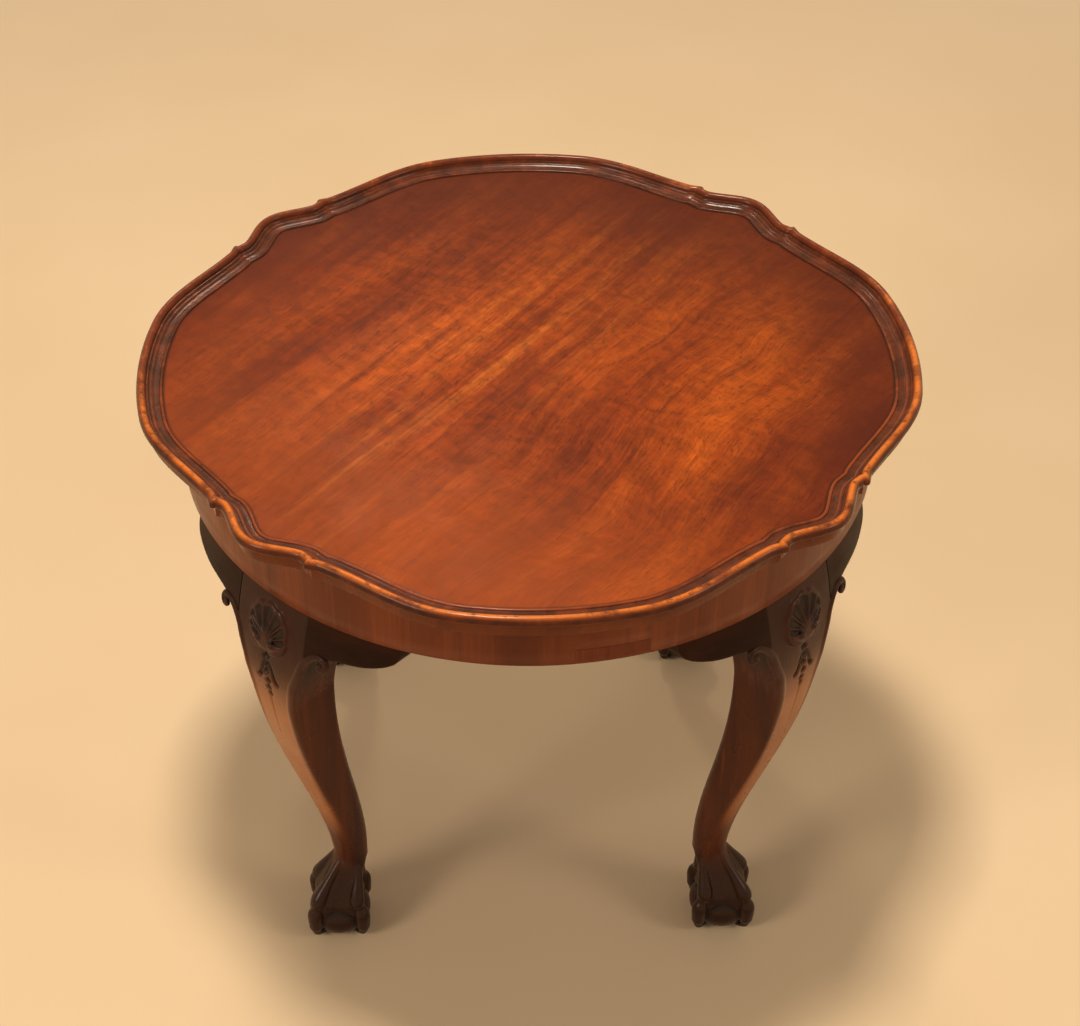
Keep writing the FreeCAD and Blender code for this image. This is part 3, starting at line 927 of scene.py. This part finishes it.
class Nodes:
    """The shader nodes of a material or a world, with short names for those used here."""

    def __init__(self, owner):
        owner.use_nodes = True
        self.owner = owner
        self.tree = owner.node_tree
        self.tree.nodes.clear()

    def add(self, kind, inputs=None, **settings):
        """A node with its settings and inputs; an input may be another node's output."""
        node = self.tree.nodes.new("ShaderNode" + kind)
        for key, value in settings.items():
            setattr(node, key, value)
        for key, value in (inputs or {}).items():
            if isinstance(value, bpy.types.NodeSocket):
                self.tree.links.new(value, node.inputs[key])
            else:
                node.inputs[key].default_value = value
        return node

    def show(self, shader, kind="OutputMaterial"):
        """Connect the shader to the output, and return what the nodes belong to."""
        self.tree.links.new(shader.outputs[0], self.add(kind).inputs[0])
        return self.owner

    def calc(self, operation, first, second=0.0, third=0.0):
        return self.add("Math", {0: first, 1: second, 2: third}, operation=operation).outputs[0]

    def times(self, first, *others):
        for other in others:
            first = self.calc("MULTIPLY", first, other)
        return first

    def between(self, value, low, high, from_value=0.0, to_value=1.0):
        """A value mapped smoothly from one range to another."""
        return self.add("MapRange", {0: value, 1: low, 2: high, 3: from_value, 4: to_value},
                        interpolation_type="SMOOTHSTEP").outputs[0]

    def blend(self, share, first, second, kind="MIX"):
        """One colour laid over another."""
        return self.add("Mix", {0: share, 6: first, 7: second}, data_type="RGBA",
                        blend_type=kind).outputs[2]

    def lay(self, wood, share, *shade):
        """A colour given as on a screen laid over the wood."""
        return self.blend(share, wood, colour(*shade))

    def ramp(self, value, *stops):
        """Colours spread over a value. Each stop is a place and a colour as on a screen."""
        node = self.add("ValToRGB", {0: value})
        stretch = node.color_ramp
        while len(stretch.elements) < len(stops):
            stretch.elements.new(0.5)
        for element, (place, *shade) in zip(stretch.elements, stops):
            element.position = place
            element.color = colour(*shade)
        return node.outputs[0]

    def stretched(self, vector, scale, turn=(0.0, 0.0, 0.0)):
        return self.add("Mapping", {"Vector": vector, "Scale": scale, "Rotation": turn}).outputs[0]

    def noise(self, vector, stretch, scale, detail=4.0, roughness=0.55, distortion=0.0):
        """Unevenness between 0 and 1, drawn out along the axes unless stretch is None."""
        if stretch:
            vector = self.stretched(vector, stretch)
        return self.add("TexNoise", {"Vector": vector, "Scale": scale, "Detail": detail,
                                     "Roughness": roughness, "Distortion": distortion}).outputs[0]

    def stored(self, name):
        """A value that was stored for every point of the mesh."""
        return self.add("Attribute", attribute_name=name).outputs["Fac"]

    def vector(self, operation, first, second):
        return self.add("VectorMath", {0: first, 1: second}, operation=operation).outputs[0]

    def place(self):
        return self.add("TexCoord").outputs["Object"]

    def grown(self, streak, fibre, wood, light, dark):
        """Lighter and darker streaks and fine fibres. Each shade: range, strength and colour."""
        for low, high, share, *shade in (light, dark):
            wood = self.lay(wood, self.between(streak, low, high, 0.0, share), *shade)
        return self.blend(1.0, wood, self.calc("MULTIPLY_ADD", fibre, 0.3, 0.85), "MULTIPLY")

    def polished(self, base, roughness, height, distance, shine, coat=0.0, coat_roughness=0.16):
        """Finish as wood under old satin polish."""
        relief = self.add("Bump", {"Height": height, "Strength": 0.6, "Distance": distance})
        return self.show(self.add("BsdfPrincipled", {
            "Base Color": base, "Roughness": roughness, "Normal": relief.outputs[0],
            "Coat Weight": coat, "Coat Roughness": coat_roughness, "IOR": 1.46,
            "Specular IOR Level": shine}))


def new_material(name):
    """The nodes of a new material, and the place on its object that they start from."""
    nodes = Nodes(bpy.data.materials.new(name))
    return nodes, nodes.place()


grain_turn = math.radians(52.0)    # the board's grain runs this far from +X
gold_across = 0.032                # the golden streaks' place across the grain, in metres
swirl_centre = (0.135, 0.100, 0.0)


def board_grain(n, place):
    """Where a place lies across the straight grain, and along the bent and swirling grain."""
    offset = n.vector("SUBTRACT", place, swirl_centre)
    away = n.add("VectorMath", {0: offset}, operation="LENGTH").outputs["Value"]
    turned = n.add("VectorRotate", {"Vector": place, "Center": swirl_centre,
                                    "Angle": n.between(away, 0.02, 0.17, 2.0, 0.0)},
                   rotation_type="Z_AXIS").outputs[0]
    level = (1.0, 1.0, 1.0)
    straight = n.stretched(place, level, (0.0, 0.0, -grain_turn))
    across = n.add("SeparateXYZ", {0: straight}).outputs[1]
    bend = n.add("TexNoise", {"Vector": place, "Scale": 5.0, "Detail": 2.0}).outputs["Color"]
    bend = n.vector("SUBTRACT", bend, (0.5, 0.5, 0.5))
    reach = n.between(across, 0.05, -0.10, 0.01125, 0.075)
    bend = n.add("VectorMath", {0: bend, "Scale": reach}, operation="SCALE").outputs[0]
    return across, n.stretched(n.vector("ADD", turned, bend), level, (0.0, 0.0, -grain_turn))


def rim_colours(n, place, inset, less_worn):
    """The moulding: dark hollow, golden bead worn on its crest with painted shade on its flanks, thin
    lighter ridges.
    """
    rim = n.noise(place, (60.0, 60.0, 60.0), 1.0, 4.0, 0.65)
    wood = n.ramp(rim, (0.32, 62, 25, 12), (0.55, 92, 39, 18), (0.75, 124, 56, 25))
    # the bead is worn and lighter on its crest and darker on its flanks: wear, and painted light and
    # shade across its round
    crest = n.times(n.between(inset, 0.4, 4.0), n.between(inset, 8.2, 4.6))
    patchy = n.calc("SUBTRACT", n.noise(place, None, 22.0, 6.0, 0.68), less_worn)
    patchy = n.between(patchy, 0.38, 0.58)
    wood = n.lay(wood, n.times(crest, 0.6), 142, 62, 27)
    wood = n.lay(wood, n.times(crest, patchy, 0.9), 230, 124, 46)
    flecks = n.between(n.noise(place, None, 110.0, 6.0, 0.72), 0.50, 0.64)
    wood = n.lay(wood, n.times(flecks, crest, 0.75), 84, 32, 15)
    for low, high, share in ((fillet_inset - 1.0, fillet_inset + 1.0, 0.4),
                             (bead_width + quirk + inner_cove_width, moulding_width, 0.5)):
        ridge = n.times(n.between(inset, low, low + 0.7), n.between(inset, high, high - 0.7))
        wood = n.lay(wood, n.times(ridge, patchy, share), 176, 80, 34)
    return wood


def board_material():
    """Figured mahogany: grain across the board, golden streaks, a swirl, dark and worn moulding."""
    n, place = new_material("figured_mahogany")
    across, along = board_grain(n, place)
    broad = n.noise(along, (2.4, 12.0, 1.0), 1.6, 4.0, 0.55, 0.25)
    streak = n.noise(along, (3.0, 64.0, 1.0), 1.5, 5.0, 0.62, 0.15)
    fibre = n.noise(along, (26.0, 560.0, 1.0), 1.3, 3.0, 0.6)
    mottle = n.noise(along, (60.0, 40.0, 1.0), 1.4, 4.0, 0.62, 0.5)
    pores = n.between(n.noise(along, (110.0, 1250.0, 1.0), 1.2, 2.0, 0.5), 0.60, 0.70)
    speck = n.noise(along, (120.0, 340.0, 1.0), 1.0, 5.0, 0.7)
    wood = n.ramp(broad, (0.30, 108, 38, 8), (0.45, 134, 52, 10), (0.58, 155, 64, 13),
                  (0.72, 178, 80, 18))
    band = n.calc("ABSOLUTE", n.calc("SUBTRACT", across, gold_across))
    gold = n.times(n.between(streak, 0.47, 0.70), n.between(band, 0.085, 0.0, 0.25, 1.0))
    wood = n.lay(wood, n.times(gold, 0.55), 204, 108, 36)
    wood = n.lay(wood, n.between(streak, 0.49, 0.32, 0.0, 0.52), 88, 30, 11)
    shade = n.times(n.calc("ADD", fibre, 0.52), n.between(mottle, 0.3, 0.7, 0.76, 1.20))
    wood = n.blend(1.0, wood, shade, "MULTIPLY")
    wood = n.lay(wood, n.times(pores, 0.6), 60, 21, 8)
    wood = n.lay(wood, n.between(speck, 0.53, 0.68, 0.0, 0.5), 66, 24, 9)

    # darker towards the rim; darker towards the back and the left as painted shade, and lighter at the
    # front as a painted sheen
    inset = n.stored("inset")
    side = n.add("SeparateXYZ", {0: place})
    behind = n.calc("MULTIPLY_ADD", side.outputs[0], 0.6, side.outputs[1])
    rim_darkening = n.times(n.between(inset, moulding_width - 1.0, 135.0, 0.85, 0.0),
                      n.between(n.noise(place, None, 9.0, 4.0, 0.6), 0.35, 0.65, 0.6, 1.2),
                      n.between(behind, -0.25, 0.02, 0.25, 1.0))
    wood = n.lay(wood, rim_darkening, 86, 30, 14)
    # painted shade at the back, a painted sheen at the front and painted shade at the left
    wood = n.lay(wood, n.between(behind, 0.0, 0.29, 0.0, 0.62), 80, 30, 13)
    wood = n.lay(wood, n.between(behind, -0.08, -0.27, 0.0, 0.4), 176, 84, 34)
    wood = n.lay(wood, n.between(side.outputs[0], -0.08, -0.29, 0.0, 0.42), 104, 40, 15)

    on_rim = n.between(inset, moulding_width + 1.5, moulding_width - 0.6)
    less_worn = n.between(side.outputs[1], 0.20, -0.20, 0.14, -0.06)
    wood = n.blend(on_rim, wood, rim_colours(n, place, inset, less_worn))
    # painted shade in the crease where the field meets the astragal
    crease_shade = n.times(n.between(inset, moulding_width - 0.8, moulding_width),
                   n.between(inset, moulding_width + 2.5, moulding_width + 0.3), 0.6)
    wood = n.lay(wood, crease_shade, 48, 20, 12)
    below = n.stored("below")
    plain = n.noise(along, (6.0, 40.0, 6.0), 1.5, 4.0, 0.6)
    wood = n.blend(below, wood, n.ramp(plain, (0.3, 98, 46, 22), (0.7, 124, 62, 31)))
    rough = n.between(n.noise(place, None, 16.0, 4.0, 0.6), 0.3, 0.7, 0.34, 0.46)
    rough = n.calc("SUBTRACT", rough, n.times(on_rim, 0.12))
    height = n.calc("MULTIPLY_ADD", pores, -0.5, n.times(fibre, 0.35))
    coat = n.times(on_rim, n.calc("SUBTRACT", 1.0, below), 0.22)
    return n.polished(wood, rough, height, 0.0004, 0.14, coat, 0.14)


def veneer_material():
    """Upright grain, streaked, brown, with painted shade at the top under the board."""
    n, place = new_material("upright_veneer")
    broad = n.noise(place, (14.0, 14.0, 2.5), 1.4, 3.0, 0.5, 0.5)
    streak = n.noise(place, (120.0, 120.0, 4.0), 1.3, 4.0, 0.6, 0.2)
    fibre = n.noise(place, (620.0, 620.0, 10.0), 1.2, 3.0, 0.6)
    wood = n.ramp(broad, (0.3, 96, 42, 19), (0.5, 114, 52, 24), (0.72, 132, 65, 31))
    wood = n.grown(streak, fibre, wood, (0.5, 0.7, 0.28, 150, 76, 36), (0.45, 0.3, 0.35, 82, 36, 18))
    height = n.add("SeparateXYZ", {0: place}).outputs[2]
    # painted shade at the top of the frieze, under the overhanging board
    shade_under_board = n.between(height, (board_bottom - 7.0) * MM, board_bottom * MM, 0.0, 0.55)
    wood = n.lay(wood, shade_under_board, 44, 20, 11)
    rough = n.between(n.noise(place, None, 30.0, 4.0, 0.6), 0.3, 0.7, 0.30, 0.42)
    return n.polished(wood, rough, fibre, 0.0003, 0.2)


def patch_material():
    """The patch: the same timber, plainer and a little redder."""
    n, place = new_material("patch_veneer")
    tilted = n.stretched(place, (150.0, 150.0, 6.0), (0.0, 0.3, 0.0))
    streak = n.noise(tilted, None, 1.3, 4.0, 0.6)
    wood = n.ramp(streak, (0.3, 92, 38, 17), (0.55, 112, 49, 23), (0.75, 128, 60, 29))
    return n.polished(wood, n.between(streak, 0.3, 0.7, 0.34, 0.44), streak, 0.0003, 0.2)


def leg_material():
    """Dark mahogany with grain down the leg, dark patina in the carving, worn edges, painted light and
    shade.
    """
    n, own_place = new_material("dark_mahogany")
    chance = n.times(n.add("ObjectInfo").outputs["Random"], 3.0)
    place = n.vector("ADD", own_place, chance)
    broad = n.noise(place, (24.0, 24.0, 3.5), 1.3, 3.0, 0.5, 0.6)
    streak = n.noise(place, (130.0, 130.0, 6.0), 1.3, 4.0, 0.6, 0.3)
    fibre = n.noise(place, (600.0, 600.0, 14.0), 1.2, 3.0, 0.6)
    wood = n.ramp(broad, (0.3, 56, 22, 11), (0.5, 74, 31, 14), (0.72, 94, 42, 19))
    wood = n.grown(streak, fibre, wood, (0.52, 0.72, 0.3, 130, 64, 30), (0.45, 0.3, 0.4, 46, 18, 10))
    height = n.add("SeparateXYZ", {0: own_place}).outputs[2]
    # painted shade on the knee under the overhanging top
    shade_under_frieze = n.between(height, (shoulder - 104.0) * MM, (shoulder - 22.0) * MM, 0.0, 0.76)
    edge = n.add("NewGeometry").outputs["Pointiness"]
    # the first shade is painted light on the shank's front; side and gap are painted shade
    for share, *shade in ((n.times(n.stored("front"), 0.68), 188, 117, 66),
                          (shade_under_frieze, 40, 15, 9),
                          (n.times(n.stored("side"), 0.8), 30, 12, 8),
                          (n.times(n.stored("foot"), 0.85), 38, 16, 9),
                          (n.times(n.stored("shell"), 0.8), 66, 25, 13),
                          (n.times(n.stored("flute"), 0.85), 20, 10, 7),
                          (n.between(edge, 0.53, 0.62, 0.0, 0.35), 122, 58, 32),
                          (n.times(n.stored("gap"), 0.95), 7, 4, 3),
                          (n.between(edge, 0.485, 0.43, 0.0, 0.85), 18, 8, 5),
                          (n.times(n.stored("cut"), 0.88), 22, 10, 7)):
        wood = n.lay(wood, share, *shade)
    rough = n.between(n.noise(place, None, 40.0, 4.0, 0.6), 0.3, 0.7, 0.26, 0.38)
    dull = n.between(height, (shoulder - 80.0) * MM, (shoulder - 30.0) * MM, 0.0, 0.14)
    handled = n.calc("MAXIMUM", n.stored("foot"), n.stored("shell"))
    coat = n.calc("MULTIPLY_ADD", handled, 0.1, 0.06)
    return n.polished(wood, n.calc("ADD", rough, dull), fibre, 0.0003, 0.22, coat, 0.14)


def ear_material():
    """The ears' own timber, darker, partly as painted shade under the top, with its grain across."""
    n, place = new_material("ear_mahogany")
    broad = n.noise(place, (20.0, 5.0, 26.0), 1.3, 3.0, 0.5, 0.5)
    streak = n.noise(place, (60.0, 8.0, 130.0), 1.3, 4.0, 0.6, 0.3)
    # the ears' own timber, darkened further as painted shade under the overhanging top
    wood = n.ramp(broad, (0.3, 32, 14, 8), (0.55, 44, 20, 11), (0.75, 60, 28, 15))
    wood = n.lay(wood, n.between(streak, 0.45, 0.3, 0.0, 0.5), 28, 12, 7)
    rough = n.between(n.noise(place, None, 40.0, 4.0, 0.6), 0.3, 0.7, 0.32, 0.46)
    return n.polished(wood, rough, streak, 0.0003, 0.1)


def rough_timber(name, light, dark, scale):
    """Sawn, unpolished wood for the bricks and blocks inside."""
    n, place = new_material(name)
    streak = n.noise(place, scale, 1.3, 5.0, 0.65, 0.4)
    stain = n.noise(place, None, 14.0, 4.0, 0.6)
    wood = n.ramp(streak, (0.3, *dark), (0.7, *light))
    wood = n.lay(wood, n.between(stain, 0.45, 0.7, 0.0, 0.45), 64, 44, 30)
    return n.polished(wood, n.between(stain, 0.3, 0.7, 0.65, 0.85), streak, 0.0008, 0.3)


def screw_material():
    """Old steel, brown in places."""
    n, place = new_material("old_steel")
    stain = n.noise(place, None, 300.0, 4.0, 0.6)
    metal = n.ramp(stain, (0.4, 128, 124, 118), (0.62, 92, 68, 50))
    rough = n.between(stain, 0.3, 0.7, 0.35, 0.7)
    return n.show(n.add("BsdfPrincipled", {"Base Color": metal, "Metallic": 0.9,
                                           "Roughness": rough}))


# ---- Put the pieces together ----------------------------------------------------------------
def place_piece(piece, material, slot, *nodes):
    """Give a piece its material and its place in the frame."""
    piece.data.materials.clear()
    piece.data.materials.append(material)
    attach(piece, "root")
    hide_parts(*nodes)


def build_table():
    place_piece(tray_top(), board_material(), "top", "tray_top")
    veneer = veneer_material()
    for name, middle in (("right", 0.0), ("back", 90.0), ("left", 180.0), ("front", -90.0)):
        stations = frieze_sheet(middle, name == "front")
        sheet = curved_sheet("veneer_sheet_" + name, stations, core_radius, frieze_radius)
        place_piece(sheet, veneer, "frieze", "frieze_veneer_" + name)
    top = shoulder + patch_height - veneer_gap * 4.0
    inside = np.linspace(patch_from_angle + veneer_gap, patch_to_angle - veneer_gap, patch_stations)
    patch = curved_sheet("veneer_patch", [(a, shoulder, top) for a in inside],
                         core_radius, frieze_radius - patch_stand)
    place_piece(patch, patch_material(), "frieze", "frieze_patch")

    carved = leg_mesh()
    dark = leg_material()
    ear_wood = ear_material()
    ear_shapes = {"left": ear(-1), "right": ear(1)}
    for name, angle in zip(leg_names, leg_angles):
        leg = bpy.data.objects.new("carved_leg_" + name, carved.copy())
        bpy.context.scene.collection.objects.link(leg)
        leg.rotation_euler.z = math.radians(angle)
        place_piece(leg, dark, "legs", "leg_" + name)
        for side, shape in ear_shapes.items():
            wing = make_object("carved_ear_" + name + "_" + side, shape, 50.0)
            wing.rotation_euler.z = math.radians(angle)
            place_piece(wing, ear_wood, "ears", "ear_" + name + "_" + side)

    steel = screw_material()
    inside_looks = {
        "frieze_brick": rough_timber("oak_bricks", (158, 124, 84), (104, 74, 46), (60.0, 60.0, 160.0)),
        "glue_block": rough_timber("pine_blocks", (176, 140, 92), (122, 90, 56), (90.0, 90.0, 30.0)),
        "block_screws": steel, "post_screws": steel}
    for name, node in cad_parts.items():
        for prefix, material in inside_looks.items():
            if name.startswith(prefix):
                node.data.materials.clear()
                node.data.materials.append(material)


# ---- Floor, light and camera ----------------------------------------------------------------
floor_size = 60.0              # metres
far_tone = colour(228, 196, 156)       # of the floor and the room away from the table
lamp_tone = colour(255, 241, 220)[:3]


def area_light(name, place, target, size, power):
    """A soft, slightly warm square lamp that faces a point."""
    data = bpy.data.lights.new(name, "AREA")
    data.size = size
    data.energy = power
    data.color = lamp_tone
    lamp = bpy.data.objects.new(name, data)
    bpy.context.scene.collection.objects.link(lamp)
    lamp.location = place
    lamp.rotation_euler = (Vector(target) - Vector(place)).to_track_quat("-Z", "Y").to_euler()


def seen_directly(n):
    """1 for rays from the camera and for those mirrored or let through, 0 for scattered light."""
    path = n.add("LightPath")
    direct = n.calc("MAXIMUM", path.outputs["Is Camera Ray"], path.outputs["Is Glossy Ray"])
    return n.calc("MAXIMUM", direct, path.outputs["Is Transmission Ray"])


def mixed(n, share, first, second):
    return n.add("MixShader", {0: share, 1: first.outputs[0], 2: second.outputs[0]})


def build_floor():
    """A pale floor with the table's shadow, one even tone further off and clear from below."""
    half = floor_size / 2.0
    mesh = bpy.data.meshes.new("studio_floor")
    mesh.from_pydata([(-half, -half, 0.0), (half, -half, 0.0), (half, half, 0.0), (-half, half, 0.0)],
                     [], [(0, 1, 2, 3)])
    floor = bpy.data.objects.new("studio_floor", mesh)
    bpy.context.scene.collection.objects.link(floor)
    n, place = new_material("pale_floor")
    tone = n.ramp(n.noise(place, None, 3.0, 2.0, 0.5), (0.3, 240, 211, 172), (0.7, 244, 216, 179))
    near = n.add("BsdfPrincipled", {"Base Color": tone, "Roughness": 0.7, "Specular IOR Level": 0.2})
    away = n.add("VectorMath", {0: place}, operation="LENGTH").outputs["Value"]
    share = n.times(n.between(away, 1.1, 3.2), seen_directly(n))
    lit = mixed(n, share, near, n.add("Emission", {"Color": far_tone}))
    from_below = n.add("NewGeometry").outputs["Backfacing"]
    floor.data.materials.append(n.show(mixed(n, from_below, lit, n.add("BsdfTransparent"))))


def build_stage():
    build_floor()
    n = Nodes(bpy.data.worlds.new("studio"))
    light = n.add("Background", {"Color": colour(254, 240, 220), "Strength": 0.27})
    backdrop = n.add("Background", {"Color": far_tone, "Strength": 1.0})
    both = mixed(n, seen_directly(n), light, backdrop)
    bpy.context.scene.world = n.show(both, "OutputWorld")

    area_light("key", (-0.25, 0.1, 3.3), (0.0, 0.0, 0.4), 0.45, 62.0)
    area_light("fill", (-3.0, -2.2, 2.4), (0.0, 0.0, 0.3), 1.2, 42.0)
    area_light("right", (2.8, -1.4, 2.2), (0.0, 0.0, 0.3), 1.0, 16.0)
    area_light("rear", (-0.2, 1.9, 2.4), (0.0, 0.0, 0.45), 0.25, 6.0)


camera_place = (-74.0, -1256.1, 1403.7)
camera_tilt = math.radians(42.71)      # below the horizon
camera_roll = math.radians(-1.80)
camera_turn = math.radians(0.9)
focal_share = 1948.8 / 1080.0          # focal length as a share of the picture's width
camera_shift = (0.0926, 0.0713)


def build_camera():
    """A camera at the viewing angle, turned with the table's frame."""
    data = bpy.data.cameras.new("camera")
    data.sensor_width = 36.0
    data.lens = focal_share * data.sensor_width
    data.shift_x, data.shift_y = camera_shift
    data.clip_end = 50.0
    camera = bpy.data.objects.new("camera", data)
    bpy.context.scene.collection.objects.link(camera)
    ahead = Vector((0.0, math.cos(camera_tilt), -math.sin(camera_tilt)))
    right = Vector((1.0, 0.0, 0.0))
    up = right.cross(ahead)
    rolled_right = math.cos(camera_roll) * right + math.sin(camera_roll) * up
    rolled_up = -math.sin(camera_roll) * right + math.cos(camera_roll) * up
    axes = Matrix((rolled_right, rolled_up, -ahead)).transposed().to_4x4()
    turn = Matrix.Rotation(camera_turn, 4, "Z")
    place = Matrix.Translation(Vector(camera_place) * MM)
    camera.matrix_world = turn @ place @ axes
    bpy.context.scene.camera = camera


build_table()
build_stage()
build_camera()
bpy.context.scene.view_settings.view_transform = "Standard"
